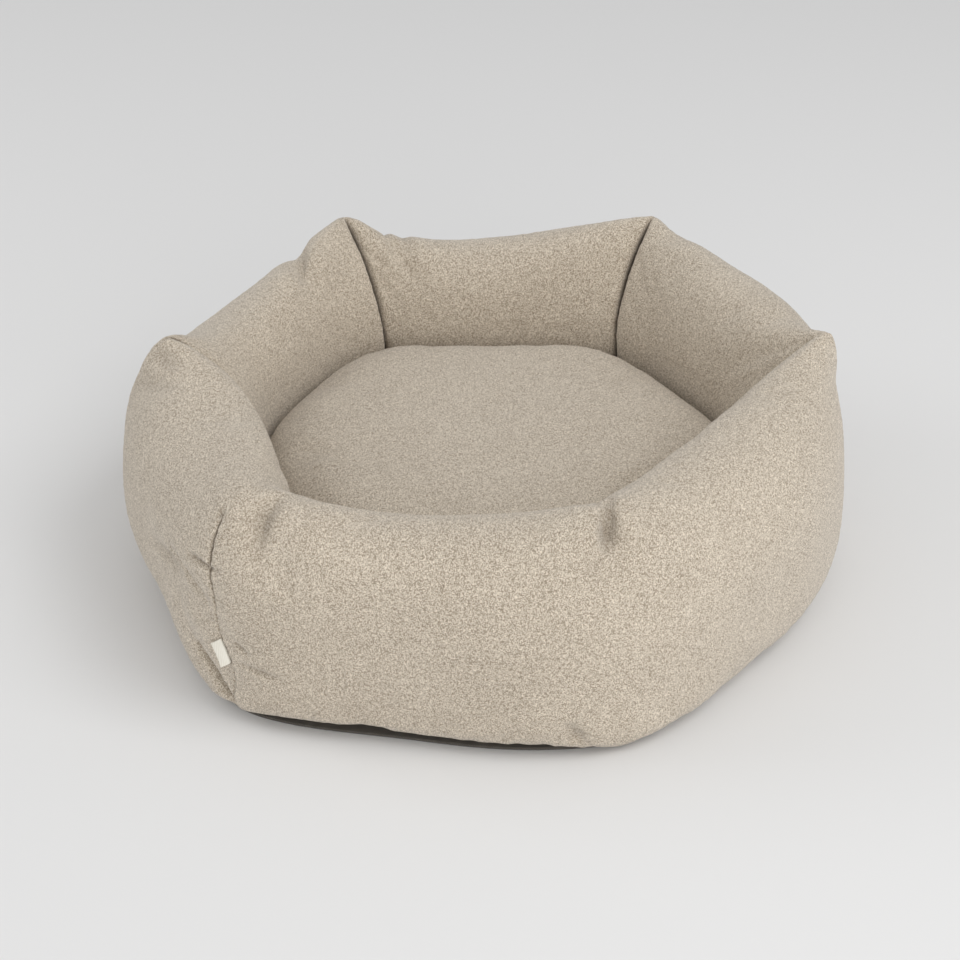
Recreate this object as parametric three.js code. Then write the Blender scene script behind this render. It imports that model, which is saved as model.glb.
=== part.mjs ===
// A hexagonal dog bed in looped wool cloth: six filled wall sections sewn end to end into a ring on a flat
// base panel, a loose filled cushion in the hollow, and a small folded label in the front left corner's seam.
// Millimetres, +Z up. The origin is on the floor under the middle of the bed, and the front wall faces -Y.
import * as THREE from "three";

// Driving dimensions
const BASE_THICKNESS = 3;
const BASE_INSET = 14; // from the walls' outer foot in to the base panel's edge
const PIECE_GAP = 0.3; // between pieces that touch
const CROWN_POWER = 2.3; // roundness of the crown in the middle of a wall: 2 is an ellipse, more is squarer
const INNER_FOOT_POWER = 3.2; // roundness of an inner face's foot
const CORNER_OUTER_POWER = 1.95; // roundness of the top on the outer side of a corner
const PEAK_REACH = 150; // length over which a wall's top rises to its corner
const CORNER_REACH = 165; // length over which the outer faces turn a corner
const LIFT_REACH = 70; // length over which the outer lower edge lifts off beside a corner
const SEAM_REACH = 52; // length over which the inner faces roll into a corner's seam
const INNER_BELLY_SHARE = 0.5; // height where an inner face swells furthest, as a share of the crown
const INNER_FOOT_SET = 24; // how far the inner foot is drawn back under that swell
const HOLLOW_POWER = 10; // roundness of the hollow's six corners in plan

// Corners, anticlockwise from the right. x and y place the peak in plan and peak is its height. seam is how
// far from the middle the inner seam runs, point the roundness of the top on that side, and blunt how wide
// the tip of the peak is. out is how far from the middle the outer corner reaches at its widest, belly at
// what height it does, foot the reach of its lower edge, lift how far that edge stands off the base and edge
// how square it is.
const CORNERS = [
  { x: 337, y: 6, peak: 244, seam: 266, point: 1.45, blunt: 8,
    out: 360, belly: 76, foot: 345, lift: 2, edge: 3.2 },
  { x: 182, y: 298, peak: 245, seam: 276, point: 1.45, blunt: 14,
    out: 384, belly: 70, foot: 354, lift: 2, edge: 3.2 },
  { x: -167, y: 300, peak: 244, seam: 274, point: 1.45, blunt: 25,
    out: 382, belly: 70, foot: 354, lift: 2, edge: 3.2 },
  { x: -324, y: -11, peak: 249, seam: 266, point: 1.5, blunt: 10,
    out: 377, belly: 100, foot: 308, lift: 3, edge: 2.2 },
  { x: -228, y: -285, peak: 225, seam: 280, point: 2, blunt: 14,
    out: 404, belly: 136, foot: 384, lift: 2, edge: 2.8 },
  { x: 98, y: -305, peak: 226, seam: 264, point: 1.7, blunt: 10,
    out: 386, belly: 66, foot: 371, lift: 0, edge: 3.2 },
];

// Walls, each from its own corner to the next. from and to are the heights of its crown towards those two
// corners, bow is how far the crown curves in towards the middle, and inside how far from the middle the
// inner face stands. The outer face's sizes are as at a corner, half way along.
const WALLS = [
  { side: "back_right", from: 231, to: 234, bow: -4, inside: 246,
    out: 364, belly: 110, foot: 326, lift: 2, edge: 3.2 },
  { side: "back", from: 237, to: 191, bow: 0, inside: 246,
    out: 362, belly: 110, foot: 326, lift: 2, edge: 3.2 },
  { side: "back_left", from: 231, to: 196, bow: 0, inside: 246,
    out: 362, belly: 110, foot: 326, lift: 2, edge: 3.2 },
  { side: "front_left", from: 222, to: 220, bow: 44, inside: 236,
    out: 376, belly: 124, foot: 308, lift: 6, edge: 2.2 },
  { side: "front", from: 206, to: 204, bow: 0, inside: 248,
    out: 370, belly: 100, foot: 357, lift: 8, edge: 3.2 },
  { side: "front_right", from: 212, to: 234, bow: 2, inside: 222,
    out: 358, belly: 108, foot: 322, lift: 3, edge: 2.8 },
];

// Folds pressed into the walls. Each runs from one place to another: fromU and toU are shares of the wall's
// length, fromV and toV go round it, 0 at the outer foot, 1 at the crown and 2 at the inner foot. A fold that
// lies in a corner has one row for either wall.
const FOLD_FACE = 280; // length of cloth from a foot to the crown
const FOLDS = [
  { side: "front", fromU: 1, fromV: 0.96, toU: 1, toV: 0.8, width: 15, depth: 10 },
  { side: "front_right", fromU: 0, fromV: 0.96, toU: 0, toV: 0.8, width: 15, depth: 10 },
  { side: "front_left", fromU: 1, fromV: 0.92, toU: 1, toV: 0.08, width: 9, depth: 3 },
  { side: "front", fromU: 0, fromV: 0.92, toU: 0, toV: 0.08, width: 9, depth: 3 },
  { side: "front_left", fromU: 1, fromV: 0.34, toU: 1, toV: 0.22, width: 30, depth: 7 },
  { side: "front", fromU: 0, fromV: 0.34, toU: 0, toV: 0.22, width: 30, depth: 7 },
  { side: "front", fromU: 0.09, fromV: 1, toU: 0.18, toV: 0.72, width: 15, depth: 6 },
  { side: "front_left", fromU: 0.55, fromV: 0.4, toU: 0.93, toV: 0.5, width: 16, depth: 5 },
  { side: "front_left", fromU: 0.78, fromV: 0.36, toU: 0.92, toV: 0.16, width: 15, depth: 6 },
  { side: "back", fromU: 0.9, fromV: 0.86, toU: 0.84, toV: 1.2, width: 14, depth: 6 },
  { side: "back_left", fromU: 0.2, fromV: 0.86, toU: 0.31, toV: 1.12, width: 15, depth: 7 },
  { side: "front_right", fromU: 1, fromV: 0.74, toU: 1, toV: 0.6, width: 34, depth: 6 },
  { side: "back_right", fromU: 0, fromV: 0.74, toU: 0, toV: 0.6, width: 34, depth: 6 },
  { side: "back_left", fromU: 1, fromV: 0.9, toU: 1, toV: 0.8, width: 28, depth: 5 },
  { side: "front_left", fromU: 0, fromV: 0.9, toU: 0.14, toV: 0.82, width: 28, depth: 5 },
  { side: "back_right", fromU: 0.12, fromV: 0.94, toU: 0.2, toV: 0.94, width: 32, depth: 8 },
  { side: "back_right", fromU: 0.86, fromV: 0.97, toU: 0.9, toV: 0.97, width: 20, depth: 5 },
];

// Cushion
const CUSHION_CLEARANCE = 1.5; // from the walls
const CUSHION_REACH = 244; // usual reach from the middle, to space its levels by
const CUSHION_EDGE = 130; // height its edge is filled to
const CUSHION_DOME = 9; // and how much higher its middle stands
const CUSHION_BELLY = 66; // height of its widest level
const CUSHION_EDGE_POWER = 9;
const CUSHION_FOOT_POWER = 4;

// Label: a strip folded in half, its ends sewn into the seam, lying on the front left wall
const LABEL_LENGTH_V = 0.115; // along the seam, as a share of the outer face
const LABEL_TOP_V = 0.365;
const LABEL_WIDTH = 14;
const LABEL_LEAN = 8; // how much further along the walls its lower end lies
const LABEL_THICKNESS = 1.2;
const LABEL_TILT = 2.5; // how much further the fold stands off than the sewn side

// Grid sizes
const WALL_STEPS = 20;
const FACE_STEPS = 13;
const CUSHION_TURN_STEPS = 48;
const CUSHION_RISE_STEPS = 16;
const BASE_STEPS = 8;
const LABEL_STEPS = 4;
const DENSE_STEPS = 160;

const mix = (a, b, t) => a + (b - a) * t;
const clamp = (t) => Math.min(1, Math.max(0, t));
const fade = (distance, reach) => Math.max(0, 1 - distance / reach);
const polar = (r, angle, z) => new THREE.Vector3(r * Math.cos(angle), r * Math.sin(angle), z);

// 1 at a corner, falling to 0 with no step at either end
function ease(distance, reach) {
  const t = fade(distance, reach);
  return t * t * (3 - 2 * t);
}

// 1 at a corner, leaving it as a quarter circle does, so that two faces press flat together in the seam
function roll(distance, reach) {
  return 1 - Math.sqrt(1 - fade(distance, reach) ** 2);
}

// The two corners a wall runs between, and its length
function wallEnds(index) {
  const from = CORNERS[index];
  const to = CORNERS[(index + 1) % CORNERS.length];
  return { from, to, length: Math.hypot(to.x - from.x, to.y - from.y) };
}

// Reach of the hollow from the middle at a plan angle: six flats with rounded corners
function hollowReach(angle) {
  let sum = 0;
  WALLS.forEach((wall, index) => {
    const { from, to } = wallEnds(index);
    const facing = Math.cos(angle - Math.atan2(from.x - to.x, to.y - from.y));
    if (facing > 0) sum += (facing / wall.inside) ** HOLLOW_POWER;
  });
  return sum ** (-1 / HOLLOW_POWER);
}

// A wall's cross-section at share u of its length: the plan angle it lies at and its sizes there
function wallSection(index, u) {
  const wall = WALLS[index];
  const { from, to, length } = wallEnds(index);
  const angle = Math.atan2(mix(from.y, to.y, u), mix(from.x, to.x, u));
  const ridge = Math.hypot(mix(from.x, to.x, u), mix(from.y, to.y, u)) - wall.bow * 4 * u * (1 - u);
  const top = mix(wall.from, wall.to, u);
  const { out, belly, foot, lift, edge } = wall;
  const section = { angle, ridge, out, belly, foot, lift, edge, inside: hollowReach(angle), crown: top };
  section.outerPower = CROWN_POWER;
  section.innerPower = CROWN_POWER;
  const ends = [
    { corner: from, distance: u * length },
    { corner: to, distance: (1 - u) * length },
  ];
  for (const { corner, distance } of ends) {
    const rise = fade(Math.hypot(distance, corner.blunt) - corner.blunt, PEAK_REACH) ** 2;
    const turn = ease(distance, CORNER_REACH);
    section.crown += (corner.peak - top) * rise;
    section.outerPower += (CORNER_OUTER_POWER - CROWN_POWER) * rise;
    section.innerPower += (corner.point - CROWN_POWER) * rise;
    section.out += (corner.out - out) * turn;
    section.belly += (corner.belly - belly) * turn;
    section.foot += (corner.foot - foot) * turn;
    section.edge += (corner.edge - edge) * turn;
    section.lift += (corner.lift - lift) * ease(distance, LIFT_REACH);
    section.inside = mix(section.inside, corner.seam, roll(distance, SEAM_REACH));
  }
  return section;
}

// The same line with its points evenly spaced along it
function spaced(line, steps) {
  const travelled = [0];
  for (let i = 1; i < line.length; i++) {
    const step = Math.hypot(line[i][0] - line[i - 1][0], line[i][1] - line[i - 1][1]);
    travelled.push(travelled[i - 1] + step);
  }
  const total = travelled[travelled.length - 1];
  const even = [line[0]];
  for (let k = 1, i = 1; k < steps; k++) {
    const target = (total * k) / steps;
    while (travelled[i] < target) i++;
    const t = (target - travelled[i - 1]) / (travelled[i] - travelled[i - 1]);
    even.push([mix(line[i - 1][0], line[i][0], t), mix(line[i - 1][1], line[i][1], t)]);
  }
  even.push(line[line.length - 1]);
  return even;
}

// A filled edge as [reach, height]: from the foot, round the belly at full reach, to the crown
function filledLine({ foot, lift, reach, ridge, belly, crown, footPower, crownPower }, steps) {
  const line = [];
  for (let i = 0; i <= DENSE_STEPS; i++) {
    const turn = (Math.PI * i) / DENSE_STEPS - Math.PI / 2;
    const below = turn < 0;
    const power = below ? footPower : crownPower;
    const out = Math.abs(Math.cos(turn)) ** (2 / power);
    const up = Math.abs(Math.sin(turn)) ** (2 / power);
    line.push([mix(below ? foot : ridge, reach, out), mix(belly, below ? lift : crown, up)]);
  }
  return spaced(line, steps);
}

// How deep the folds press into a wall at one place
function foldDepth(index, u, v) {
  const { length } = wallEnds(index);
  let depth = 0;
  for (const fold of FOLDS.filter(({ side }) => side === WALLS[index].side)) {
    const runX = (fold.toU - fold.fromU) * length;
    const runY = (fold.toV - fold.fromV) * FOLD_FACE;
    const x = (u - fold.fromU) * length;
    const y = (v - fold.fromV) * FOLD_FACE;
    const t = clamp((x * runX + y * runY) / (runX * runX + runY * runY));
    depth += fold.depth * Math.exp(-((Math.hypot(x - runX * t, y - runY * t) / fold.width) ** 2));
  }
  return depth;
}

// One closed ring of points round a wall: up the outer face, over the crown and down the inner face
function wallRing(index, u) {
  const section = wallSection(index, u);
  const outerFace = {
    reach: section.out,
    belly: section.belly,
    foot: section.foot,
    footPower: section.edge,
    crownPower: section.outerPower,
  };
  const innerFace = {
    reach: section.inside,
    belly: section.crown * INNER_BELLY_SHARE,
    foot: section.inside + INNER_FOOT_SET,
    lift: 0,
    footPower: INNER_FOOT_POWER,
    crownPower: section.innerPower,
  };
  const outer = filledLine({ ...section, ...outerFace }, FACE_STEPS);
  const inner = filledLine({ ...section, ...innerFace }, FACE_STEPS);
  const profile = [...outer, ...inner.reverse().slice(1)];
  const last = profile.length - 1;
  return profile.map(([r, z], j) => {
    const [beforeR, beforeZ] = profile[Math.max(0, j - 1)];
    const [afterR, afterZ] = profile[Math.min(last, j + 1)];
    const span = Math.hypot(afterR - beforeR, afterZ - beforeZ);
    const depth = j % last ? foldDepth(index, u, j / FACE_STEPS) / span : 0;
    const lift = BASE_THICKNESS + PIECE_GAP;
    return polar(r - (afterZ - beforeZ) * depth, section.angle, z + (afterR - beforeR) * depth + lift);
  });
}

// A closed solid through rings of equally many points, with each end filled by a fan
function loft(rings) {
  const count = rings[0].length;
  const points = rings.flat();
  const index = [];
  for (let i = 0; i + 1 < rings.length; i++) {
    for (let j = 0; j < count; j++) {
      const a = i * count + j;
      const b = i * count + ((j + 1) % count);
      index.push(a, b + count, b, a, a + count, b + count);
    }
  }
  for (const end of [0, rings.length - 1]) {
    const centre = new THREE.Vector3();
    rings[end].forEach((p) => centre.addScaledVector(p, 1 / count));
    points.push(centre);
    for (let j = 0; j < count; j++) {
      const a = end * count + j;
      const b = end * count + ((j + 1) % count);
      index.push(points.length - 1, end ? b : a, end ? a : b);
    }
  }
  const geometry = new THREE.BufferGeometry().setFromPoints(points);
  geometry.setIndex(index);
  geometry.computeVertexNormals();
  return geometry;
}

// One filled wall section, its ends drawn back by half a gap from the corners' planes
function wallGeometry(index) {
  const rings = [];
  for (let i = 0; i <= WALL_STEPS; i++) {
    const u = (1 - Math.cos((Math.PI * i) / WALL_STEPS)) / 2;
    const ring = wallRing(index, u);
    if (i === 0 || i === WALL_STEPS) {
      const inwards = ((i === 0 ? 1 : -1) * PIECE_GAP) / 2;
      const along = polar(1, wallSection(index, u).angle + Math.PI / 2, 0);
      ring.forEach((p) => p.addScaledVector(along, inwards));
    }
    rings.push(ring);
  }
  return loft(rings);
}

// The loose cushion: level rings from the foot up to the crown
function cushionGeometry() {
  const side = {
    foot: 0,
    lift: 0,
    ridge: 0,
    reach: CUSHION_REACH,
    belly: CUSHION_BELLY,
    crown: CUSHION_EDGE,
    footPower: CUSHION_FOOT_POWER,
    crownPower: CUSHION_EDGE_POWER,
  };
  const levels = filledLine(side, CUSHION_RISE_STEPS).slice(1, -1);
  const rings = levels.map(([r, z]) => {
    const share = r / CUSHION_REACH;
    const dome = z > CUSHION_BELLY ? CUSHION_DOME * (1 - share * share) : 0;
    const ring = [];
    for (let j = 0; j < CUSHION_TURN_STEPS; j++) {
      const angle = (-2 * Math.PI * j) / CUSHION_TURN_STEPS;
      const reach = (hollowReach(angle) - CUSHION_CLEARANCE) * share;
      ring.push(polar(reach, angle, z + dome + BASE_THICKNESS + PIECE_GAP));
    }
    return ring;
  });
  return loft(rings);
}

// The flat base panel under the walls
function baseGeometry() {
  const outline = [];
  WALLS.forEach((wall, index) => {
    for (let i = 0; i < BASE_STEPS; i++) {
      const section = wallSection(index, i / BASE_STEPS);
      const { x, y } = polar(section.foot - BASE_INSET, section.angle, 0);
      outline.push(new THREE.Vector2(x, y));
    }
  });
  return new THREE.ExtrudeGeometry(new THREE.Shape(outline), { depth: BASE_THICKNESS, bevelEnabled: false });
}

// A place on a wall's outer face, between the points of its ring, or past its end on the next wall's
function outerPoint(index, u, v) {
  if (u > 1) {
    const next = (index + 1) % WALLS.length;
    return outerPoint(next, ((u - 1) * wallEnds(index).length) / wallEnds(next).length, v);
  }
  const ring = wallRing(index, u);
  const j = Math.floor(v * FACE_STEPS);
  return ring[j].clone().lerp(ring[j + 1], v * FACE_STEPS - j);
}

// The label: sections across it, from its top end down, each round its two sides
function labelGeometry() {
  const index = WALLS.findIndex(({ side }) => side === "front_left");
  const { length } = wallEnds(index);
  const rings = [];
  for (let i = 0; i <= LABEL_STEPS; i++) {
    const v = LABEL_TOP_V - (LABEL_LENGTH_V * i) / LABEL_STEPS;
    const sewnU = 1 + (LABEL_LEAN * i) / LABEL_STEPS / length;
    const sewn = outerPoint(index, sewnU, v);
    const fold = outerPoint(index, sewnU - LABEL_WIDTH / length, v);
    const down = outerPoint(index, sewnU, v - 0.02).sub(sewn);
    const off = fold.clone().sub(sewn).cross(down).normalize();
    const at = (p, height) => p.clone().addScaledVector(off, height);
    const near = PIECE_GAP * 2;
    const far = near + LABEL_TILT;
    const under = [at(sewn, near), at(fold, far)];
    const over = [at(fold, far + LABEL_THICKNESS), at(sewn, near + LABEL_THICKNESS)];
    rings.push([...under, ...over]);
  }
  return loft(rings);
}

const cloth = new THREE.MeshStandardMaterial({ color: 0xb9ad98, roughness: 0.95, metalness: 0 });
const baseCloth = new THREE.MeshStandardMaterial({ color: 0x635f59, roughness: 0.95, metalness: 0 });
const labelCloth = new THREE.MeshStandardMaterial({ color: 0xe9e4d6, roughness: 0.9, metalness: 0 });
const bed = new THREE.Group();

function add(name, geometry, material) {
  const mesh = new THREE.Mesh(geometry, material.clone());
  mesh.name = name;
  bed.add(mesh);
}

add("base_panel", baseGeometry(), baseCloth);
WALLS.forEach((wall, index) => add(`wall_${wall.side}`, wallGeometry(index), cloth));
add("cushion", cushionGeometry(), cloth);
add("label", labelGeometry(), labelCloth);

export default bed;
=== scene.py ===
import math
from collections import namedtuple

import bmesh
import bpy
import numpy as np
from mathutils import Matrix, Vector, noise
from mathutils.bvhtree import BVHTree


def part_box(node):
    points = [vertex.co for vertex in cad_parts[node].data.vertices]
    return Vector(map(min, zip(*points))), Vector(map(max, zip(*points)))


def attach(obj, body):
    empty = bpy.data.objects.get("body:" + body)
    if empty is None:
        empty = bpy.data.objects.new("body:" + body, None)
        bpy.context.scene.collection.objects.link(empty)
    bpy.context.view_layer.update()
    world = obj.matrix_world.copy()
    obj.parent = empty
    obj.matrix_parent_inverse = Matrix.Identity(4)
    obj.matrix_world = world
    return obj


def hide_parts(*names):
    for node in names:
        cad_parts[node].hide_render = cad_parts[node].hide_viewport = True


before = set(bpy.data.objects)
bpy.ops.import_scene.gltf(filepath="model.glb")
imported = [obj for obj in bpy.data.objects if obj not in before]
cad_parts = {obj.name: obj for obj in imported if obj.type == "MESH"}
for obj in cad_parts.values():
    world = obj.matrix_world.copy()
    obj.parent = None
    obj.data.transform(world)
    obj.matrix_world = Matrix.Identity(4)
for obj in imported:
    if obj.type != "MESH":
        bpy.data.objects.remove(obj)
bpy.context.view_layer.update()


# Base panel: one flat hexagon of dark, close plain weave that the walls are sewn to, its edge turned under
# just inside their feet. It carries the bed on the floor, and shows only as a dark line below the front. That
# dark colour, with its edge set out past the solid, is painted shadow: the line of shade under the front
# edge.
BASE_PAINTED_SHADOW_COLOUR = (0.140, 0.128, 0.112, 1)
# painted shade where the threads dip
BASE_SHADE = (0.080, 0.072, 0.064, 1)
BASE_THREAD = 0.0011  # from one thread to the next
BASE_WEAVE_DEPTH = 0.0003
BASE_SPREAD = 0.0075  # its edge is set out past the solid, so that its dark colour shows as painted shadow below the front
BASE_OUTLINE_POINTS = 192
BASE_FLAT_SHARES = np.linspace(0.05, 1, 12)  # of the way out, one for each ring on its flat sides
BASE_EDGE_STEPS = 5  # round its edge
CLOTH_SHINE = 0.15
WEAVE_HEIGHT = 0.5  # of the crossing threads, against the slubs along them
WEAVE_SLUBS = 90  # to a metre
WEAVE_TONES = (0.1, 1.0)  # heights at which the weave is all painted shade and all colour
WEAVE_ROUGHNESS = 0.82
WEAVE_SLUB_ROUGHNESS = 0.15
SHARP_EDGE = math.radians(70)  # a sharper one isn't shaded smooth
END_TUCK = 3  # how far inside an end's middle lies, in steps from ring to ring


class Shade:
    """One output in a material's nodes. Sums on it add Math nodes, and node adds any other kind."""

    def __init__(self, tree, socket=None):
        self.tree = tree
        self.socket = socket

    def node(self, kind, settings=None, sockets=None, out=0):
        """One output of a new node, with its settings made first and then its sockets set or linked."""
        made = self.tree.nodes.new("ShaderNode" + kind)
        for name, value in (settings or {}).items():
            setattr(made, name, value)
        for name, value in (sockets or {}).items():
            if isinstance(value, Shade):
                self.tree.links.new(value.socket, made.inputs[name])
            else:
                made.inputs[name].default_value = value
        return Shade(self.tree, made.outputs[out])

    def maths(self, operation, *values):
        """A Math node on values or outputs."""
        return self.node("Math", {"operation": operation}, dict(enumerate(values)))

    def __add__(self, other):
        return self.maths("ADD", self, other)

    def __sub__(self, other):
        return self.maths("SUBTRACT", self, other)

    def __rsub__(self, other):
        return self.maths("SUBTRACT", other, self)

    def __mul__(self, other):
        return self.maths("MULTIPLY", self, other)

    __radd__ = __add__
    __rmul__ = __mul__

    def beside(self, name):
        """Another output of the same node."""
        return Shade(self.tree, self.socket.node.outputs[name])

    def band(self, low, high):
        """0 below low and 1 above high, with a smooth rise between."""
        ends = {"Value": self, "From Min": low, "From Max": high}
        return self.node("MapRange", {"interpolation_type": "SMOOTHSTEP"}, ends)

    def between(self, from_colour, to_colour):
        """One colour where this is 0 and the other where it is 1. A Mix node's colours go by their places."""
        mixed = {"Factor": self, 6: from_colour, 7: to_colour}
        return self.node("Mix", {"data_type": "RGBA"}, mixed, out=2)


def new_cloth(name):
    """A material with only its output and shader, the start of its nodes, and the shader's sockets."""
    cloth = bpy.data.materials.new(name)
    cloth.use_nodes = True
    sockets = cloth.node_tree.nodes["Principled BSDF"].inputs
    sockets["Specular IOR Level"].default_value = CLOTH_SHINE
    return cloth, Shade(cloth.node_tree), sockets


def wear(start, sockets, colour, roughness, height, depth):
    """Joins a finish to a cloth's shader: its colour, its roughness, and its height as a bump."""
    normal = start.node("Bump", None, {"Height": height, "Distance": depth})
    for name, shade in (("Base Color", colour), ("Roughness", roughness), ("Normal", normal)):
        start.tree.links.new(shade.socket, sockets[name])


def plain_weave(name, colour, shade, thread, depth):
    """Threads over and under each other, seen along Z, with painted shade where they dip."""
    cloth, start, sockets = new_cloth(name)
    place = start.node("TexCoord", out="Object")
    warp = start.node("SeparateXYZ", None, {"Vector": place}, out="X")
    weft = warp.beside("Y")
    turns = math.pi / thread
    weave = start.maths("SINE", warp * turns) * start.maths("SINE", weft * turns)
    slub = start.node("TexNoise", None, {"Vector": place, "Scale": WEAVE_SLUBS, "Detail": 3})
    height = weave * WEAVE_HEIGHT + slub
    weave_and_painted_shade = height.band(*WEAVE_TONES).between(shade, colour)
    wear(start, sockets, weave_and_painted_shade, slub * WEAVE_SLUB_ROUGHNESS + WEAVE_ROUGHNESS, height, depth)
    return cloth


def solid_points(node):
    """The points of a solid, each once."""
    places = np.array([vertex.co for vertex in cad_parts[node].data.vertices])
    return np.unique(places.round(6), axis=0)


def spline(knots, values, at):
    """A natural cubic spline through values at knots, read at other places."""
    step = np.diff(knots)[:, None]
    slope = np.diff(values, axis=0) / step
    system = np.eye(len(knots))
    right = np.zeros_like(values)
    for i in range(1, len(knots) - 1):
        before, after = step[i - 1, 0], step[i, 0]
        system[i, i - 1:i + 2] = before, 2 * (before + after), after
        right[i] = 6 * (slope[i] - slope[i - 1])
    bend = np.linalg.solve(system, right)
    i = np.clip(np.searchsorted(knots, at, side="right") - 1, 0, len(knots) - 2)
    t = (at - knots[i])[:, None]
    lean = slope[i] - step[i] * (2 * bend[i] + bend[i + 1]) / 6
    return values[i] + t * (lean + t * (bend[i] / 2 + t * (bend[i + 1] - bend[i]) / (6 * step[i])))


def sewn_shell(name, rings, cloth):
    """A closed piece through rings of equally many points. Each end is a fan to a middle a little inside."""
    count = rings.shape[1]
    middles = rings[[0, -1]].mean(axis=1)
    middles += END_TUCK * (rings[[1, -2]].mean(axis=1) - middles)
    points = np.concatenate([rings.reshape(-1, 3), middles])
    side = np.arange(count)
    after = (side + 1) % count
    first = np.arange(len(rings) - 1)[:, None] * count
    quads = np.stack([first + side, first + after, first + after + count, first + side + count], axis=-1)
    last = (len(rings) - 1) * count
    start_fan = np.stack([np.full(count, len(points) - 2), after, side], axis=-1)
    end_fan = np.stack([np.full(count, len(points) - 1), last + side, last + after], axis=-1)
    mesh = bpy.data.meshes.new(name)
    fans = start_fan.tolist() + end_fan.tolist()
    mesh.from_pydata(points.tolist(), [], quads.reshape(-1, 4).tolist() + fans)
    mesh.shade_smooth()
    mesh.set_sharp_from_angle(angle=SHARP_EDGE)
    mesh.materials.append(cloth)
    piece = bpy.data.objects.new(name, mesh)
    bpy.context.collection.objects.link(piece)
    return piece


def base_rings():
    """Rings from the middle of the underside out, round the turned edge and back in over the top."""
    points = solid_points("base_panel")
    low, high = points[:, 2].min(), points[:, 2].max()
    outline = points[points[:, 2] < (low + high) / 2][:, :2]
    outline = outline[np.argsort(np.arctan2(outline[:, 1], outline[:, 0]))]
    count = len(outline)
    places = np.arange(-count, 2 * count)
    even = np.arange(BASE_OUTLINE_POINTS) * count / BASE_OUTLINE_POINTS
    outline = spline(places, np.tile(outline, (3, 1)), even)
    outline *= 1 + BASE_SPREAD / np.hypot(*outline.T)[:, None]
    radius = (high - low) / 2
    reach = np.hypot(*outline.T)[:, None]
    rings = [(outline * share * (1 - radius / reach), low) for share in BASE_FLAT_SHARES]
    for turn in np.linspace(-math.pi / 2, math.pi / 2, BASE_EDGE_STEPS)[1:-1]:
        edge = outline * (1 - radius * (1 - math.cos(turn)) / reach)
        rings.append((edge, low + radius * (1 + math.sin(turn))))
    rings += [(outline * share * (1 - radius / reach), high) for share in BASE_FLAT_SHARES[::-1]]
    after = np.roll(outline, -1, axis=0)
    area = 0.5 * np.sum(outline[:, 0] * after[:, 1] - after[:, 0] * outline[:, 1])
    return np.array([[(x, y, z) for x, y in ring] for ring, z in rings]), abs(float(area))


base_points, base_area = base_rings()
base_painted_shadow_weave = plain_weave("base_painted_shadow_weave", BASE_PAINTED_SHADOW_COLOUR, BASE_SHADE, BASE_THREAD, BASE_WEAVE_DEPTH)
base_cloth = sewn_shell("base_cloth", base_points, base_painted_shadow_weave)
base_low, base_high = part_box("base_panel")
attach(base_cloth, "root")
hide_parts("base_panel")


# Walls: six filled sections of looped wool cloth standing end to end on the base panel. Their inner faces are
# sewn together down each corner. The outer cloth runs on round the corners to one seam at the front left.
SIDES = ["back_right", "back", "back_left", "front_left", "front", "front_right"]  # anticlockwise from above
SEAM_SIDE = "front"  # the outer seam is at the start of this wall
WALL_COLUMNS = 80  # along a wall, before each is halved once
FACE_ROWS = 52  # up either face
UNDER_ROWS = 8
COLUMN_GRADING = 0.5  # how much closer the columns stand at the corners
RING_TURN = 0.001  # two rings of a solid are further apart than this, in radians
END_MIDDLE = 0.005  # the middle of a solid's end is nearer to the middle of its ring than this
FLAT_FOOT = 0.0005  # the points of a foot are within this height
WALL_GAP = 0.00015  # from a wall to the plane of its corner
FILL_PRESSURE = 4
FILL_FRAMES = 20
COVER_QUALITY = 5
COVER_MASS = 0.3
COVER_STRETCH = 20
COVER_SHEAR = 8
COVER_BEND = 0.8
WALL_SLACK = 0.010  # share by which the cloth is larger than what it covers
WALL_SWELL = 0.010  # the furthest that filling moves the cloth
BROAD_COLUMNS = 8  # swelling broader than this is taken off, because the cover is cut smaller by as much
BROAD_ROWS = 6
WRINKLE_SHARE = 0.5  # of the finer swelling that stays, as the cloth is thick
FACE_LENGTH = 0.280  # from a foot to the crown
FOOT_SHARE = 0.08  # the lowest part of a face, that the base keeps still
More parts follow.
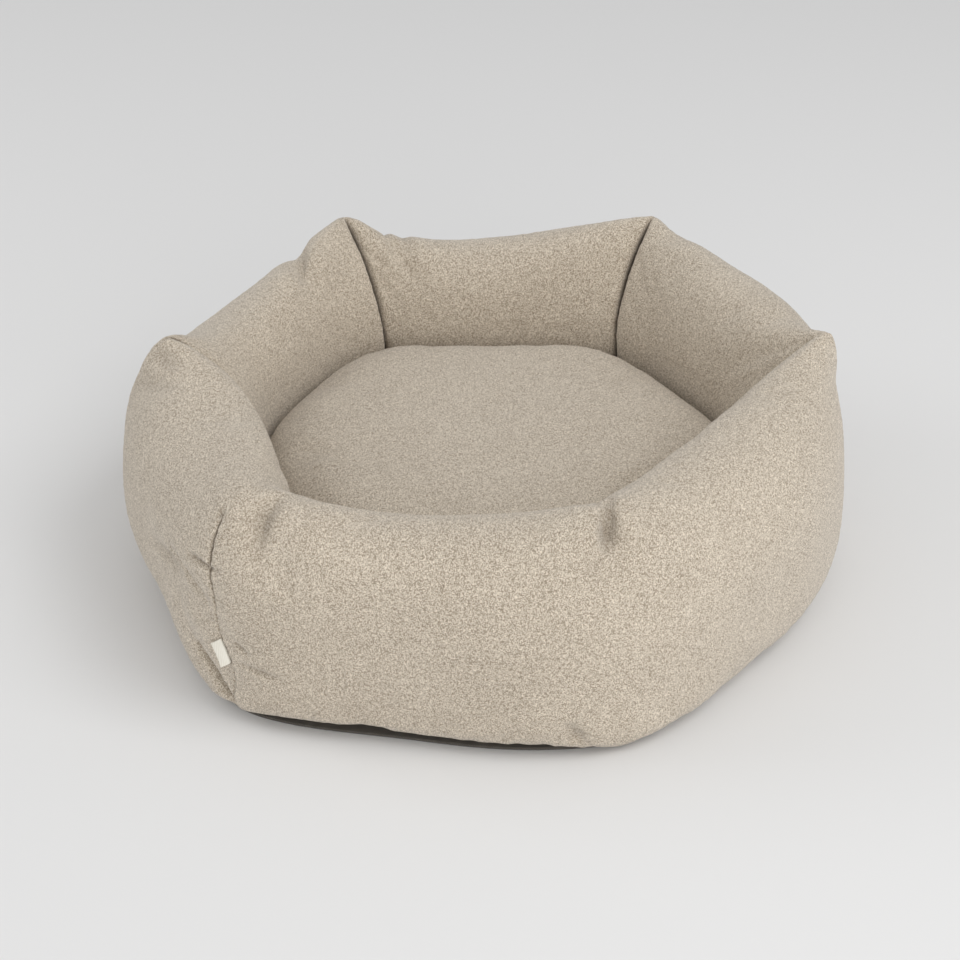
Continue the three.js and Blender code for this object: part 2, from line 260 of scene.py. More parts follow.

# Folds: creases and softer dents. Each runs from one place to another: u is a share of the wall's length, and
# v goes round it, 0 at the outer foot, 1 at the crown and 2 at the inner foot. Shade is the most painted
# shade that it puts into the cloth's colour.
Fold = namedtuple("Fold", "side from_u from_v to_u to_v width depth shade")
FOLDS = [
    # creases beside the outer seam, and running into it
    Fold("front_left", 0.960, 0.838, 0.974, 0.888, 0.0018, 0.0028, 0.40),
    Fold("front_left", 0.855, 0.628, 1.035, 0.692, 0.0024, 0.0046, 0.45),
    Fold("front_left", 0.835, 0.265, 1.040, 0.045, 0.0050, 0.0095, 0.50),
    Fold("front", 0.056, 0.388, 0.108, 0.334, 0.0024, 0.0032, 0.40),
    Fold("front", 0.050, 0.296, 0.215, 0.245, 0.0034, 0.0032, 0.26),
    # dents where the filling pulls away from that seam
    Fold("front_left", 0.520, 0.450, 0.840, 0.515, 0.0085, 0.0065, 0.18),
    Fold("front_left", 0.700, 0.560, 0.980, 0.500, 0.0070, 0.0060, 0.20),
    # below the front wall's crown at either end, and at the foot beside the right one
    Fold("front", 0.070, 1.080, 0.120, 0.740, 0.0085, 0.0090, 0.32),
    Fold("front", 1.028, 1.075, 0.968, 0.795, 0.0085, 0.0105, 0.48),
    Fold("front", 0.965, 0.840, 0.900, 0.710, 0.0110, 0.0035, 0.12),
    Fold("front", 0.860, 0.180, 0.900, 0.020, 0.0080, 0.0070, 0.15),
    # on the back walls' crowns
    Fold("back", 0.855, 0.720, 0.865, 1.120, 0.0050, 0.0030, 0.10),
    Fold("back", 0.795, 0.700, 0.805, 1.140, 0.0085, 0.0040, 0.14),
    Fold("back_left", 0.190, 0.890, 0.315, 1.100, 0.0080, 0.0065, 0.14),
    # below the left corner's tip
    Fold("front_left", -0.020, 0.908, 0.160, 0.926, 0.0090, 0.0050, 0.22),
    Fold("front_left", -0.030, 0.745, 0.240, 0.880, 0.0120, 0.0040, 0.16),
]
CARVED_COLUMNS = 12  # the cloth is pressed in along its normal, evened over so many columns and rows
CARVED_ROWS = 6
# The inner seams, each at the start of its wall: v where it begins, how deep it draws the walls in, how far
# along the ring its foot leans, and how far it bows on the way.
InnerSeam = namedtuple("InnerSeam", "side top depth lean bow")
INNER_SEAMS = [
    InnerSeam("back_right", 1.05, 0.007, 0.000, 0.000), InnerSeam("back", 1.00, 0.012, -0.012, 0.012),
    InnerSeam("back_left", 1.00, 0.012, -0.021, -0.005), InnerSeam("front_left", 0.95, 0.005, 0.000, 0.000),
    InnerSeam("front", 1.30, 0.008, 0.000, 0.000), InnerSeam("front_right", 1.15, 0.008, 0.000, 0.000),
]
INNER_SEAM_WIDTH = 0.0030
# how wide the painted shade along an inner seam is
INNER_SEAM_SHADE_WIDTH = 0.0024
INNER_SEAM_START = 0.10  # of v, over which it deepens
INNER_SEAM_SWAY = 0.050  # either side of a seam that leans
# The outer seam, from low to high: it wanders along the front wall, and is drawn tightest near its top.
SeamPlace = namedtuple("SeamPlace", "v u tight")
OUTER_SEAM = [
    SeamPlace(0.000, 0.006, 0.2), SeamPlace(0.135, 0.025, 0.3), SeamPlace(0.231, 0.032, 0.3),
    SeamPlace(0.317, 0.017, 0.4), SeamPlace(0.390, -0.004, 0.3), SeamPlace(0.480, -0.006, 0.3),
    SeamPlace(0.567, -0.008, 0.5), SeamPlace(0.660, -0.018, 0.9), SeamPlace(0.760, -0.020, 1.0),
    SeamPlace(0.910, -0.019, 0.9),
]
SEAM_WIDTH = 0.0013
SEAM_DEPTH = 0.0050
SOFT_CORNER = "front"  # the crown runs on smoothly round the start of this wall
SOFT_CORNER_COLUMNS = 16
SOFT_CORNER_REACH = 0.045
SOFT_CORNER_FACE = 0.30  # of v, either side of the crown
GATHER_PITCH = 0.013  # of the small puckers along the seam
GATHER_REACH = 0.011
GATHER_DEPTH = 0.0006

WOOL_PALE = (0.768, 0.684, 0.566, 1)
WOOL_DARK = (0.212, 0.161, 0.108, 1)
# painted shade between the loops
WOOL_PAINTED_GAP_SHADE = (0.128, 0.097, 0.062, 1)
# painted shade in the creases, seams and dents
WOOL_PAINTED_CREASE_SHADE = (0.085, 0.062, 0.040, 1)
WOOL_LOOP = 0.00067  # width of a loop of the yarn
WOOL_LOOP_DEPTH = 0.00025
WOOL_LOOP_HEIGHT = 0.75  # share of the depth that is the loops'
WOOL_FIBRE_HEIGHT = 0.5  # and that of the fibres on them
WOOL_CURLS = 0.7  # bends of the yarn to a loop
WOOL_FIBRES = 2.2  # fibres to a loop
WOOL_SLUB = 0.0024  # from one thicker stretch of the yarn to the next
WOOL_NAP = 14  # brushed patches to a metre
# How much the loops, slubs and nap each count in the yarn's tone, and the range over which the first two go
# from dark to pale.
WOOL_TONES = (0.82, 0.14, 0.12)
WOOL_LOOP_TONES = (0.22, 0.78)
WOOL_SLUB_TONES = (0.30, 0.70)
WOOL_GAP_SHADE_TONES = (0.10, 0.55)  # heights at which only the painted shade between loops shows and only the yarn
WOOL_PAINTED_SHADE_SHARE = 0.92  # how far the deepest crease's painted shade goes towards its colour
WOOL_ROUGHNESS = 0.88
WOOL_NAP_ROUGHNESS = 0.1
WOOL_SHEEN = 0.25
WOOL_SHEEN_ROUGHNESS = 0.6
WOOL_LUMP = 0.0065  # from one raised patch of loops to the next
WOOL_LUMP_HEIGHT = 0.00045
WOOL_FINE_LUMPS = 2.3  # finer patches to each of those
WOOL_FINE_HEIGHT = 0.6  # and their height against it
FILLING_LUMP = 0.075  # from one uneven place in the filling to the next
FILLING_LUMP_HEIGHT = 0.0016
HEM_RISE = 0.045  # of v, the strip along the outer foot that its stitches make uneven
HEM_WAVES = (0.095, 0.043, 0.019)  # lengths of its waves
HEM_OUT = 0.0030
HEM_UP = 0.0030
# Along this stretch of the ring the lower edge also hangs out and stands off the floor.
HEM_LIFTED_FROM = ("front_left", 0.55)
HEM_LIFTED_TO = ("front", 0.84)
HEM_LIFTED_EASE = 0.130
HEM_LIFTED_OUT = 0.0010
HEM_LIFTED_UP = 0.0030


def looped_wool(name):
    """Small curled loops of yarn, each paler or darker than the next, with painted shade deep between them.
    """
    cloth, start, sockets = new_cloth(name)
    place = start.node("TexCoord", out="Object")
    curls = {"Vector": place, "Scale": WOOL_CURLS / WOOL_LOOP, "Detail": 2}
    curl = start.node("TexNoise", None, curls, out="Color")
    bent = start.node("VectorMath", {"operation": "MULTIPLY_ADD"}, {0: curl, 1: (WOOL_LOOP,) * 3, 2: place})
    loops = start.node("TexVoronoi", None, {"Vector": bent, "Scale": 1 / WOOL_LOOP})
    fibre = start.node("TexNoise", None, {"Vector": bent, "Scale": WOOL_FIBRES / WOOL_LOOP, "Detail": 3})
    slub = start.node("TexNoise", None, {"Vector": place, "Scale": 1 / WOOL_SLUB, "Detail": 1})
    nap = start.node("TexNoise", None, {"Vector": place, "Scale": WOOL_NAP, "Detail": 3})
    pressed_and_painted_shade = start.node("Attribute", {"attribute_name": "pressed_and_painted_shade"}, out="Fac")
    height = (1 - loops) * WOOL_LOOP_HEIGHT + fibre * WOOL_FIBRE_HEIGHT
    by_loop, by_slub, by_nap = WOOL_TONES
    # Each loop has a colour of its own by chance, and only how light that is counts.
    loop_tone = loops.beside("Color").band(*WOOL_LOOP_TONES) * by_loop
    tone = loop_tone + slub.band(*WOOL_SLUB_TONES) * by_slub + nap * by_nap
    yarn = tone.between(WOOL_DARK, WOOL_PALE)
    # painted shade between the loops, where the cloth is low
    raised = height.band(*WOOL_GAP_SHADE_TONES).between(WOOL_PAINTED_GAP_SHADE, yarn)
    # Painted shade: creases, seams and dents are darkened by the mesh's shade attribute.
    colour = (pressed_and_painted_shade * WOOL_PAINTED_SHADE_SHARE).between(raised, WOOL_PAINTED_CREASE_SHADE)
    sockets["Sheen Weight"].default_value = WOOL_SHEEN
    sockets["Sheen Roughness"].default_value = WOOL_SHEEN_ROUGHNESS
    wear(start, sockets, colour, nap * WOOL_NAP_ROUGHNESS + WOOL_ROUGHNESS, height, WOOL_LOOP_DEPTH)
    return cloth


def wall_rings(side):
    """A wall's rings from corner to corner, each up the outer face, over the crown and down the inner one."""
    points = solid_points("wall_" + side)
    middle = points.mean(axis=0)
    across = middle[0] * points[:, 1] - middle[1] * points[:, 0]
    turn = np.arctan2(across, points[:, :2] @ middle[:2])
    order = np.argsort(turn)
    rings = []
    for group in np.split(order, np.flatnonzero(np.diff(turn[order]) > RING_TURN) + 1):
        ring = points[group]
        reach = np.hypot(ring[:, 0], ring[:, 1])
        section = np.stack([reach - reach.mean(), ring[:, 2] - ring[:, 2].mean()], axis=-1)
        rim = np.flatnonzero(np.hypot(*section.T) > END_MIDDLE)
        rim = rim[np.argsort(np.arctan2(section[rim, 1], section[rim, 0]))]
        raised = ring[rim, 2] > ring[:, 2].min() + FLAT_FOOT
        inner_foot = np.argmin(np.where(raised, np.inf, reach[rim]))
        rings.append(np.roll(ring[rim], -inner_foot - 1, axis=0))
    return np.array(rings)


def wall_grid(side):
    """A wall's cloth as columns of points, with the share u of each. The last column is the next wall's."""
    rings = wall_rings(side)
    crown = rings.shape[1] // 2
    start, end = rings[0, crown, :2], rings[-1, crown, :2]
    plan = rings[:, crown, :2]
    from_start = start[0] * plan[:, 1] - start[1] * plan[:, 0]
    from_end = end[0] * plan[:, 1] - end[1] * plan[:, 0]
    shares = from_start / (from_start - from_end)
    s = np.linspace(0, 1, WALL_COLUMNS + 1)
    u = s - COLUMN_GRADING * np.sin(2 * math.pi * s) / (2 * math.pi)
    v = np.linspace(0, 2, 2 * FACE_ROWS + 1)
    knots = np.arange(rings.shape[1]) / crown
    faces = np.stack([spline(knots, ring, v) for ring in rings])
    columns = spline(shares, faces.reshape(len(rings), -1), u).reshape(len(u), len(v), 3)
    back = np.linspace(0, 1, UNDER_ROWS + 1)[1:-1, None]
    under = columns[:, -1:] * (1 - back) + columns[:, :1] * back
    return np.concatenate([columns, under], axis=1), u


def closed_grid(name, grid):
    """A plain ring of cloth, closed both ways, to be filled."""
    columns, rows = grid.shape[:2]
    number = np.arange(columns * rows).reshape(columns, rows)
    along = np.roll(number, -1, axis=0)
    quads = np.stack([number, along, np.roll(along, -1, axis=1), np.roll(number, -1, axis=1)], axis=-1)
    mesh = bpy.data.meshes.new(name)
    mesh.from_pydata(grid.reshape(-1, 3).tolist(), [], quads.reshape(-1, 4).tolist())
    piece = bpy.data.objects.new(name, mesh)
    bpy.context.collection.objects.link(piece)
    return piece


def mesh_points(mesh):
    """A mesh's points as rows of an array."""
    points = np.empty(len(mesh.vertices) * 3, np.float32)
    mesh.vertices.foreach_get("co", points)
    return points.reshape(-1, 3).astype(float)


def filled(piece, held, slack, swell):
    """The points of a closed cover once it is filled. Cloth swells it between the points that are held."""
    before = mesh_points(piece.data)
    piece.vertex_groups.new(name="held").add(held.tolist(), 1, "REPLACE")
    cover = piece.modifiers.new("filling", "CLOTH")
    cover.settings.quality = COVER_QUALITY
    cover.settings.mass = COVER_MASS
    cover.settings.tension_stiffness = COVER_STRETCH
    cover.settings.compression_stiffness = COVER_STRETCH
    cover.settings.shear_stiffness = COVER_SHEAR
    cover.settings.bending_stiffness = COVER_BEND
    cover.settings.vertex_group_mass = "held"
    cover.settings.use_pressure = True
    cover.settings.uniform_pressure_force = FILL_PRESSURE
    cover.settings.shrink_min = -slack
    cover.settings.effector_weights.gravity = 0
    cover.point_cache.frame_end = FILL_FRAMES
    for step in range(1, FILL_FRAMES + 1):
        bpy.context.scene.frame_set(step)
    after = mesh_points(piece.evaluated_get(bpy.context.evaluated_depsgraph_get()).data)
    piece.modifiers.remove(cover)
    bpy.context.scene.frame_set(1)
    move = after - before
    far = np.linalg.norm(move, axis=1, keepdims=True)
    return before + move * np.minimum(1, swell / np.maximum(far, 1e-9))


def halved(grid, axis):
    """A closed grid with a new line between each two, on a smooth curve through its neighbours."""
    near = grid + np.roll(grid, -1, axis)
    far = np.roll(grid, 1, axis) + np.roll(grid, -2, axis)
    shape = list(grid.shape)
    shape[axis] *= 2
    return np.stack([grid, (9 * near - far) / 16], axis=axis + 1).reshape(shape)


def grid_normals(grid):
    """Which way is out of the cloth at each point of a closed grid."""
    along = np.roll(grid, -1, 0) - np.roll(grid, 1, 0)
    up = np.roll(grid, -1, 1) - np.roll(grid, 1, 1)
    out = np.cross(along, up)
    return out / np.maximum(np.linalg.norm(out, axis=-1, keepdims=True), 1e-12)


def eased(share):
    """A smooth rise from 0 to 1."""
    share = np.clip(share, 0, 1)
    return share * share * (3 - 2 * share)


def off_the_base(v):
    """1 on a wall's faces, falling to 0 at both feet and underneath."""
    return eased(np.minimum(v, 2 - v) / FOOT_SHARE)


def from_corner(x, side, starts, lengths):
    """How far each column is along the ring from the start of a wall, either way."""
    whole = sum(lengths)
    return (x - starts[SIDES.index(side)] + whole / 2) % whole - whole / 2


def folded(x, v, starts, lengths):
    """How deep the folds press into the walls at each column, x along the ring, and row, and their painted
    shade.
    """
    depth = np.zeros((len(x), len(v)))
    shade = np.zeros((len(x), len(v)))
    for fold in FOLDS:
        length = lengths[SIDES.index(fold.side)]
        run = np.array([(fold.to_u - fold.from_u) * length, (fold.to_v - fold.from_v) * FACE_LENGTH])
        along = from_corner(x - fold.from_u * length, fold.side, starts, lengths)[:, None]
        up = ((v - fold.from_v) * FACE_LENGTH)[None, :]
        t = np.clip((along * run[0] + up * run[1]) / (run @ run), 0, 1)
        away = np.hypot(along - run[0] * t, up - run[1] * t)
        pressed_and_painted_shade = 4 * t * (1 - t) * np.exp(-(away / fold.width) ** 2) * off_the_base(v)
        depth = np.maximum(depth, fold.depth * pressed_and_painted_shade)
        shade = np.maximum(shade, fold.shade * pressed_and_painted_shade)
    return depth, shade


def seam_place(v, starts, lengths):
    """Where the outer seam is along the ring, at each v."""
    i = SIDES.index(SEAM_SIDE)
    knots = np.array(OUTER_SEAM)
    u = spline(knots[:, 0], knots[:, 1:2], np.clip(v, 0, OUTER_SEAM[-1].v))[:, 0]
    return starts[i] + u * lengths[i]


def seam_depth(x, v, starts, lengths):
    """How tightly the outer seam's stitches draw the cloth in, as a share that also sets its painted shade,
    and how deep its puckers are.
    """
    from_seam = x[:, None] - seam_place(v, starts, lengths)
    knots = np.array(OUTER_SEAM)
    tight = np.interp(v, knots[:, 0], knots[:, 2])
    stitched = np.clip((OUTER_SEAM[-1].v - v) / FOOT_SHARE, 0, 1) * off_the_base(v)
    pucker = GATHER_DEPTH * np.sin(2 * math.pi * v * FACE_LENGTH / GATHER_PITCH)
    drawn = tight * stitched * np.exp(-(from_seam / SEAM_WIDTH) ** 2)
    return drawn, pucker * stitched * np.exp(-(from_seam / GATHER_REACH) ** 2)


def lumps(points):
    """How far the uneven filling and loops raise the cloth at each point, up or down."""
    raised = []
    for point in points.reshape(-1, 3):
        loops = noise.noise(Vector(point / WOOL_LUMP))
        fine = noise.noise(Vector(point / WOOL_LUMP * WOOL_FINE_LUMPS))
        uneven = noise.noise(Vector(point / FILLING_LUMP))
        raised.append(WOOL_LUMP_HEIGHT * (loops + WOOL_FINE_HEIGHT * fine) + FILLING_LUMP_HEIGHT * uneven)
    return np.array(raised).reshape(points.shape[:-1])


def hemmed(ring, x, v, starts, lengths):
    """The walls with their outer lower edge a little wavy, and off the floor along one stretch."""
    edge = np.where(v < 2, np.exp(-(v / HEM_RISE) ** 2), v - 2)
    waves = [sum(noise.noise(Vector((place / wave, 0, wave))) for wave in HEM_WAVES) for place in x]
    wavy = np.array(waves)[:, None] * edge
    first, last = [starts[SIDES.index(side)] + u * lengths[SIDES.index(side)]
                   for side, u in (HEM_LIFTED_FROM, HEM_LIFTED_TO)]
    lifted = eased((x - first) / HEM_LIFTED_EASE) * eased((last - x) / HEM_LIFTED_EASE)
    lifted = lifted[:, None] * edge
    away = ring[..., :2] / np.hypot(ring[..., 0], ring[..., 1])[..., None]
    out = away * (HEM_OUT * wavy + HEM_LIFTED_OUT * lifted)[..., None]
    up = HEM_UP * np.abs(wavy) + HEM_LIFTED_UP * lifted
    return ring + np.concatenate([out, up[..., None]], axis=-1)


def broad_part(grid, columns, rows):
    """A closed grid with all that is finer than so many cells smoothed away."""
    along = np.fft.fftfreq(grid.shape[0]) * columns
    up = np.fft.fftfreq(grid.shape[1]) * rows
    kept = np.exp(-2 * math.pi ** 2 * (along[:, None] ** 2 + up ** 2))
    return np.fft.ifft2(np.fft.fft2(grid, axes=(0, 1)) * kept[..., None], axes=(0, 1)).real


def softened(ring, x, v, starts, lengths):
    """The walls with one corner's crown rounded along the ring."""
    near = np.exp(-(from_corner(x, SOFT_CORNER, starts, lengths) / SOFT_CORNER_REACH) ** 2)
    share = near[:, None] * np.exp(-((v - 1) / SOFT_CORNER_FACE) ** 2)
    return ring + (broad_part(ring, SOFT_CORNER_COLUMNS, 0) - ring) * share[..., None]


def drawn_in(ring, x, v, starts, lengths):
    """The walls with their inner seams drawn tight, each straight into its corner, and the painted shade
    along them.
    """
    out = grid_normals(ring)
    moved = ring.copy()
    pressed_and_painted_shade = np.zeros(ring.shape[:2])
    for seam in INNER_SEAMS:
        away = from_corner(x, seam.side, starts, lengths)
        own = SIDES.index(seam.side) * 2 * WALL_COLUMNS
        turn = math.atan2(*ring[own, 2 * FACE_ROWS, 1::-1])
        along = np.array([-math.sin(turn), math.cos(turn), 0])
        into = out[own] - (out[own] @ along)[:, None] * along
        begun = np.clip((v - seam.top) / INNER_SEAM_START, 0, 1) * off_the_base(v)
        depth = seam.depth * np.exp(-np.abs(away) / INNER_SEAM_WIDTH)[:, None] * begun
        down = np.clip(v - 1, 0, 1)
        sideways = (seam.lean * down + seam.bow * 4 * down * (1 - down)) * off_the_base(v)
        lean = np.exp(-(away / INNER_SEAM_SWAY) ** 2)[:, None] * sideways
        moved += lean[..., None] * along - depth[..., None] * into
        pressed_and_painted_shade = np.maximum(pressed_and_painted_shade, np.exp(-(away / INNER_SEAM_SHADE_WIDTH) ** 2)[:, None] * begun)
    return moved, pressed_and_painted_shade


def within_corners(ring, corners):
    """The same cloth with no wall past the planes of its two corners."""
    turn = np.arctan2(ring[..., 1], ring[..., 0])
    reach = np.hypot(ring[..., 0], ring[..., 1])
    planes = [math.atan2(corner[FACE_ROWS, 1], corner[FACE_ROWS, 0]) for corner in corners]
    for i, first in enumerate(planes):
        own = slice(i * WALL_COLUMNS + 1, (i + 1) * WALL_COLUMNS)
        span = (planes[(i + 1) % len(planes)] - first) % (2 * math.pi)
        margin = WALL_GAP / reach[own]
        past = (turn[own] - first + math.pi) % (2 * math.pi) - math.pi
        turn[own] = first + np.clip(past, margin, span - margin)
    return np.stack([reach * np.cos(turn), reach * np.sin(turn), ring[..., 2]], axis=-1)


def filled_walls():
    """The six walls' cloth as one closed grid, filled and folded, with its painted shade and where its
    columns and walls stand.
    """
    grids, shares = zip(*[wall_grid(side) for side in SIDES])
    corners = [(grid[0] + grids[i - 1][-1]) / 2 for i, grid in enumerate(grids)]
    ring = np.concatenate([[corner, *grid[1:-1]] for corner, grid in zip(corners, grids)])
    columns, rows = ring.shape[:2]
    v = np.concatenate([np.linspace(0, 2, 2 * FACE_ROWS + 1), 2 + np.arange(1, UNDER_ROWS) / UNDER_ROWS])
    number = np.arange(columns * rows).reshape(columns, rows)
    inner_seams = number[::WALL_COLUMNS, FACE_ROWS + 1:]
    held = np.concatenate([number[:, 2 * FACE_ROWS:].ravel(), number[:, 0], inner_seams.ravel()])
    cover = closed_grid("wall_cover", ring)
    swell = filled(cover, held, WALL_SLACK, WALL_SWELL).reshape(ring.shape) - ring
    bpy.data.objects.remove(cover)
    ring += (swell - broad_part(swell, BROAD_COLUMNS, BROAD_ROWS) * off_the_base(v)[:, None]) * WRINKLE_SHARE
    ring = halved(halved(within_corners(ring, corners), 0), 1)

    crowns = np.array([corner[FACE_ROWS, :2] for corner in corners])
    lengths = np.linalg.norm(np.roll(crowns, -1, axis=0) - crowns, axis=1)
    starts = np.cumsum(lengths) - lengths
    x = np.concatenate([start + u[:-1] * length for start, u, length in zip(starts, shares, lengths)])
    x = np.stack([x, (x + np.append(x[1:], sum(lengths))) / 2], axis=-1).ravel()
    v = np.stack([v, (v + np.append(v[1:], 3)) / 2], axis=-1).ravel()
    ring = softened(ring, x, v, starts, lengths)
    ring, pressed_and_painted_shade = drawn_in(ring, x, v, starts, lengths)
    drawn, puckered = seam_depth(x, v, starts, lengths)
    fold_depth, fold_shade = folded(x, v, starts, lengths)
    out = broad_part(grid_normals(ring), CARVED_COLUMNS, CARVED_ROWS)
    out /= np.linalg.norm(out, axis=-1, keepdims=True)
    depth = np.maximum(fold_depth, SEAM_DEPTH * drawn) + puckered
    ring -= out * depth[..., None]
    ring += grid_normals(ring) * (lumps(ring) * off_the_base(v) * (1 - pressed_and_painted_shade))[..., None]
    # painted shade along the seams and in the folds
    pressed_and_painted_shade = np.maximum(np.maximum(pressed_and_painted_shade, drawn), fold_shade)
    return hemmed(ring, x, v, starts, lengths), pressed_and_painted_shade, x, starts, lengths


wool = looped_wool("looped_wool")
wall_ring, wall_painted_shade, wall_x, wall_starts, wall_lengths = filled_walls()
columns_each = 2 * WALL_COLUMNS
walls = {}
for i, side in enumerate(SIDES):
    own = np.arange(i * columns_each, (i + 1) * columns_each + 1) % len(wall_ring)
    wall = sewn_shell(side + "_wall", wall_ring[own][:, ::-1], wool)
    shaded = wall.data.attributes.new("pressed_and_painted_shade", "FLOAT", "POINT")
    shaded.data.foreach_set("value", np.append(wall_painted_shade[own][:, ::-1], [0, 0]).astype(np.float32))
    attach(wall, "root")
    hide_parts("wall_" + side)
    walls[side] = wall


# Label: a short cream tape folded in half, its two ends caught in the front left seam so that it lies flat on
# the wall beside it. Its face is bare.
LABEL_TOP = 0.378  # of the way up the outer face
LABEL_FOOT = 0.276
LABEL_WIDTH = 0.0108  # that shows beside the seam
LABEL_TAPE = 0.0005
LABEL_PLY = 0.0011  # from one half of the tape to the other
LABEL_SEWN_LIFT = 0.0014  # off the cloth at the seam
LABEL_FOLD_LIFT = 0.0030  # and at its folded side
LABEL_DROP = 0.034  # of the folded side, as the tape leans
LABEL_BOW = 0.0006
LABEL_ROWS = 24
LABEL_STEPS = 12
LABEL_COLOUR = (0.920, 0.890, 0.800, 1)
# painted shade where the tape's threads dip
LABEL_SHADE = (0.780, 0.740, 0.640, 1)
LABEL_THREAD = 0.0005
LABEL_WEAVE_DEPTH = 0.00012


def across_walls(grid, places, v):
    """A grid of the walls read at places along the ring, at one v."""
    row = v * 2 * FACE_ROWS
    low = int(row)
    line = grid[:, low] + (grid[:, low + 1] - grid[:, low]) * (row - low)
    return np.stack([np.interp(places, wall_x, line[:, k]) for k in range(3)], axis=-1)


def label_rings():
    """The folded tape's sections from its top end down: out along the under side, round the fold and back."""
    out = grid_normals(wall_ring)
    rows = np.linspace(LABEL_TOP, LABEL_FOOT, LABEL_ROWS)
    sewn = []
    fold = []
    lift = []
    for v in rows:
        seam = seam_place(np.array([v]), wall_starts, wall_lengths)
        places = np.append(seam, seam - LABEL_WIDTH)
        away = across_walls(out, places, v)[1]
        lift.append(away)
        sewn.append(across_walls(wall_ring, places, v)[0] + away * LABEL_SEWN_LIFT)
        fold.append(across_walls(wall_ring, places, v - LABEL_DROP)[1] + away * LABEL_FOLD_LIFT)
    lift = np.mean(lift, axis=0)
    reach = np.mean(np.array(fold) - np.array(sewn), axis=0)
    line = np.polynomial.polynomial.polyfit(rows, np.array(sewn), deg=2)
    sewn = np.polynomial.polynomial.polyval(rows, line).T
    across = np.linspace(0, 1, LABEL_STEPS)[:, None]
    under = reach * across + lift * LABEL_BOW * 4 * across * (1 - across)
    over = under + lift * LABEL_PLY
    tip = (under[-1:] + over[-1:]) / 2 + (under[-1] - under[-2]) / 2
    half = lift * LABEL_TAPE / 2
    outside = [under - half, tip, (over + half)[::-1]]
    section = np.concatenate(outside + [over - half, (under + half)[::-1]])
    return sewn[:, None] + section


label_weave = plain_weave("label_tape", LABEL_COLOUR, LABEL_SHADE, LABEL_THREAD, LABEL_WEAVE_DEPTH)
label = sewn_shell("seam_label", label_rings()[::-1], label_weave)
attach(label, "root")
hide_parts("label")


# Cushion: a loose hexagonal cover of the same looped wool, filled so that its top is gently domed, dropped
# into the hollow on the base panel. Its seams lie out of sight below the edge.
CUSHION_WELD = 1e-5  # corners nearer than this are one
CUSHION_FLAT = 0.6  # two triangles at less than this angle become one face
CUSHION_SQUARE = 3.1  # if that face is no further than this from square
CUSHION_ROUNDINGS = 2
CUSHION_CELL = 0.0052
CUSHION_EVENINGS = 8
CUSHION_SLACK = 0.004
CUSHION_SWELL = 0.003
CUSHION_HELD_BELOW = 0.020  # the cover is held by the base up to this height
CUSHION_CLEAR = 0.0006  # between the cushion and a wall it presses on, or the base
CUSHION_PRESSED = 0.012  # the furthest that a wall presses it in


def modelled(piece):
    """A new mesh of the piece as its modifiers leave it."""
    return bpy.data.meshes.new_from_object(piece.evaluated_get(bpy.context.evaluated_depsgraph_get()))


def cushion_cover():
    """The cushion's solid with its facets smoothed, in even cells."""
    mesh = bpy.data.meshes.new("seat_cushion")
    build = bmesh.new()
    build.from_mesh(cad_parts["cushion"].data)
    bmesh.ops.remove_doubles(build, verts=build.verts, dist=CUSHION_WELD)
    limits = {"angle_face_threshold": CUSHION_FLAT, "angle_shape_threshold": CUSHION_SQUARE}
    bmesh.ops.join_triangles(build, faces=build.faces, **limits)
    build.to_mesh(mesh)
    build.free()
    piece = bpy.data.objects.new("seat_cushion", mesh)
    bpy.context.collection.objects.link(piece)
    piece.modifiers.new("round", "SUBSURF").levels = CUSHION_ROUNDINGS
    shape = bpy.data.objects.new("cushion_shape", modelled(piece))
    bpy.context.collection.objects.link(shape)
    cells = piece.modifiers.new("cells", "REMESH")
    cells.mode = "VOXEL"
    cells.voxel_size = CUSHION_CELL
    even = piece.modifiers.new("even", "SMOOTH")
    even.iterations = CUSHION_EVENINGS
    piece.modifiers.new("back_out", "SHRINKWRAP").target = shape
    piece.data = modelled(piece)
    piece.modifiers.clear()
    bpy.data.objects.remove(shape)
    return piece


def pressed_clear(points, others, clear):
    """The same points, each moved out of and just clear of the other pieces."""
    build = bmesh.new()
    for other in others:
        build.from_mesh(other.data)
    tree = BVHTree.FromBMesh(build)
    build.free()
    moved = []
    for point in points:
        near, out, _, _ = tree.find_nearest(Vector(point))
        short = clear - (Vector(point) - near).dot(out)
        moved.append(point + np.array(out) * max(0, short) if short < CUSHION_PRESSED else point)
    return np.array(moved)


cushion = cushion_cover()
cushion_points = mesh_points(cushion.data)
cushion_held = np.flatnonzero(cushion_points[:, 2] < CUSHION_HELD_BELOW)
cushion.data.vertices.foreach_set("co", filled(cushion, cushion_held, CUSHION_SLACK, CUSHION_SWELL).ravel())
cushion.modifiers.new("fine", "SUBSURF").levels = 1
cushion.data = modelled(cushion)
cushion.modifiers.clear()
cushion_points = mesh_points(cushion.data)
cushion_out = np.empty(cushion_points.size, np.float32)
cushion.data.vertices.foreach_get("normal", cushion_out)
cushion_points += cushion_out.reshape(-1, 3) * lumps(cushion_points)[:, None]
cushion_points[:, 2] = np.maximum(cushion_points[:, 2], base_high.z + CUSHION_CLEAR)
cushion.data.vertices.foreach_set("co", pressed_clear(cushion_points, walls.values(), CUSHION_CLEAR).ravel())
cushion.data.materials.clear()
cushion.data.materials.append(wool)
cushion.data.shade_smooth()
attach(cushion, "root")
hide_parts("cushion")


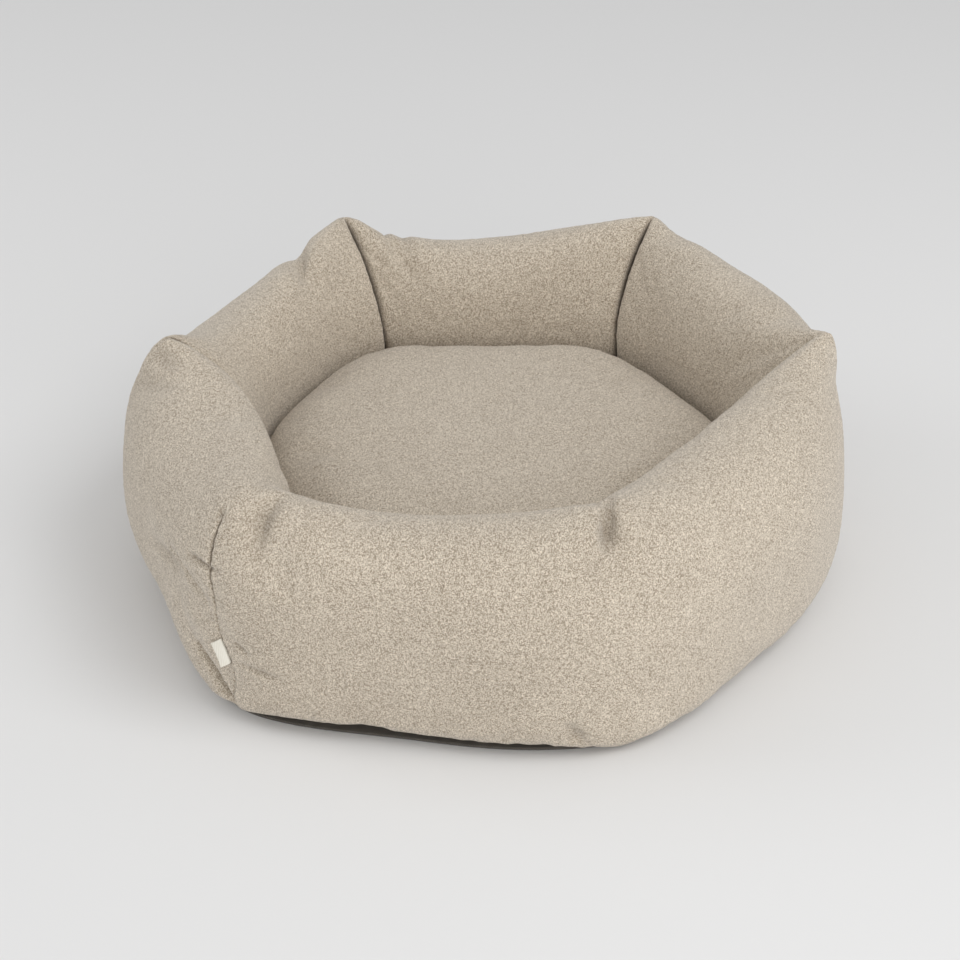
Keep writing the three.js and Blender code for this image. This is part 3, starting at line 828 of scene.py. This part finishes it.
# Stage: a wide pale floor, broad soft lights from the upper right, the front and the left, and even light
# from all round. The camera stands in front, 30 degrees up.
FLOOR_SIZE = 14
FLOOR_COLOUR = (0.780, 0.780, 0.780, 1)
FLOOR_ROUGHNESS = 0.9
FLOOR_SHINE = 0.1
AROUND_COLOUR = (1, 1, 1, 1)
AROUND_STRENGTH = 0.58
LIGHT_SIZE = 2.4
AIM = Vector((-0.013, -0.072, 0.120))
CAMERA_DISTANCE = 2.100
CAMERA_RISE = math.radians(30)
CAMERA_SENSOR = 36
PICTURE_WIDTH = 960
PICTURE_DISTANCE = 2100  # of the camera, in pixels of the picture

floor_mesh = bpy.data.meshes.new("floor")
half = FLOOR_SIZE / 2
floor_corners = [(-half, -half, 0), (half, -half, 0), (half, half, 0), (-half, half, 0)]
floor_mesh.from_pydata(floor_corners, [], [(0, 1, 2, 3)])
floor = bpy.data.objects.new("floor", floor_mesh)
bpy.context.collection.objects.link(floor)
floor_paint = bpy.data.materials.new("pale_floor")
floor_paint.use_nodes = True
floor_sockets = floor_paint.node_tree.nodes["Principled BSDF"].inputs
floor_sockets["Base Color"].default_value = FLOOR_COLOUR
floor_sockets["Roughness"].default_value = FLOOR_ROUGHNESS
floor_sockets["Specular IOR Level"].default_value = FLOOR_SHINE
floor_mesh.materials.append(floor_paint)

around = bpy.data.worlds.new("even_light")
around.use_nodes = True
around_sockets = around.node_tree.nodes["Background"].inputs
around_sockets["Color"].default_value = AROUND_COLOUR
around_sockets["Strength"].default_value = AROUND_STRENGTH
bpy.context.scene.world = around


def soft_light(name, place, power):
    """A square soft box turned towards the bed."""
    lamp = bpy.data.lights.new(name, "AREA")
    lamp.size = LIGHT_SIZE
    lamp.energy = power
    light = bpy.data.objects.new(name, lamp)
    light.location = place
    light.rotation_euler = (AIM - Vector(place)).to_track_quat("-Z", "Y").to_euler()
    bpy.context.collection.objects.link(light)


soft_light("upper_right", place=(2.2, -1.4, 3.4), power=61)
soft_light("front", place=(1.0, -3.7, 1.1), power=48)
soft_light("left", place=(-3.3, 0.4, 1.6), power=26)

lens = bpy.data.cameras.new("camera")
lens.sensor_width = CAMERA_SENSOR
lens.lens = CAMERA_SENSOR * PICTURE_DISTANCE / PICTURE_WIDTH
camera = bpy.data.objects.new("camera", lens)
back = Vector((0, -math.cos(CAMERA_RISE), math.sin(CAMERA_RISE)))
camera.location = AIM + back * CAMERA_DISTANCE
camera.rotation_euler = (-back).to_track_quat("-Z", "Y").to_euler()
bpy.context.collection.objects.link(camera)
bpy.context.scene.camera = camera
bpy.context.scene.view_settings.view_transform = "Standard"
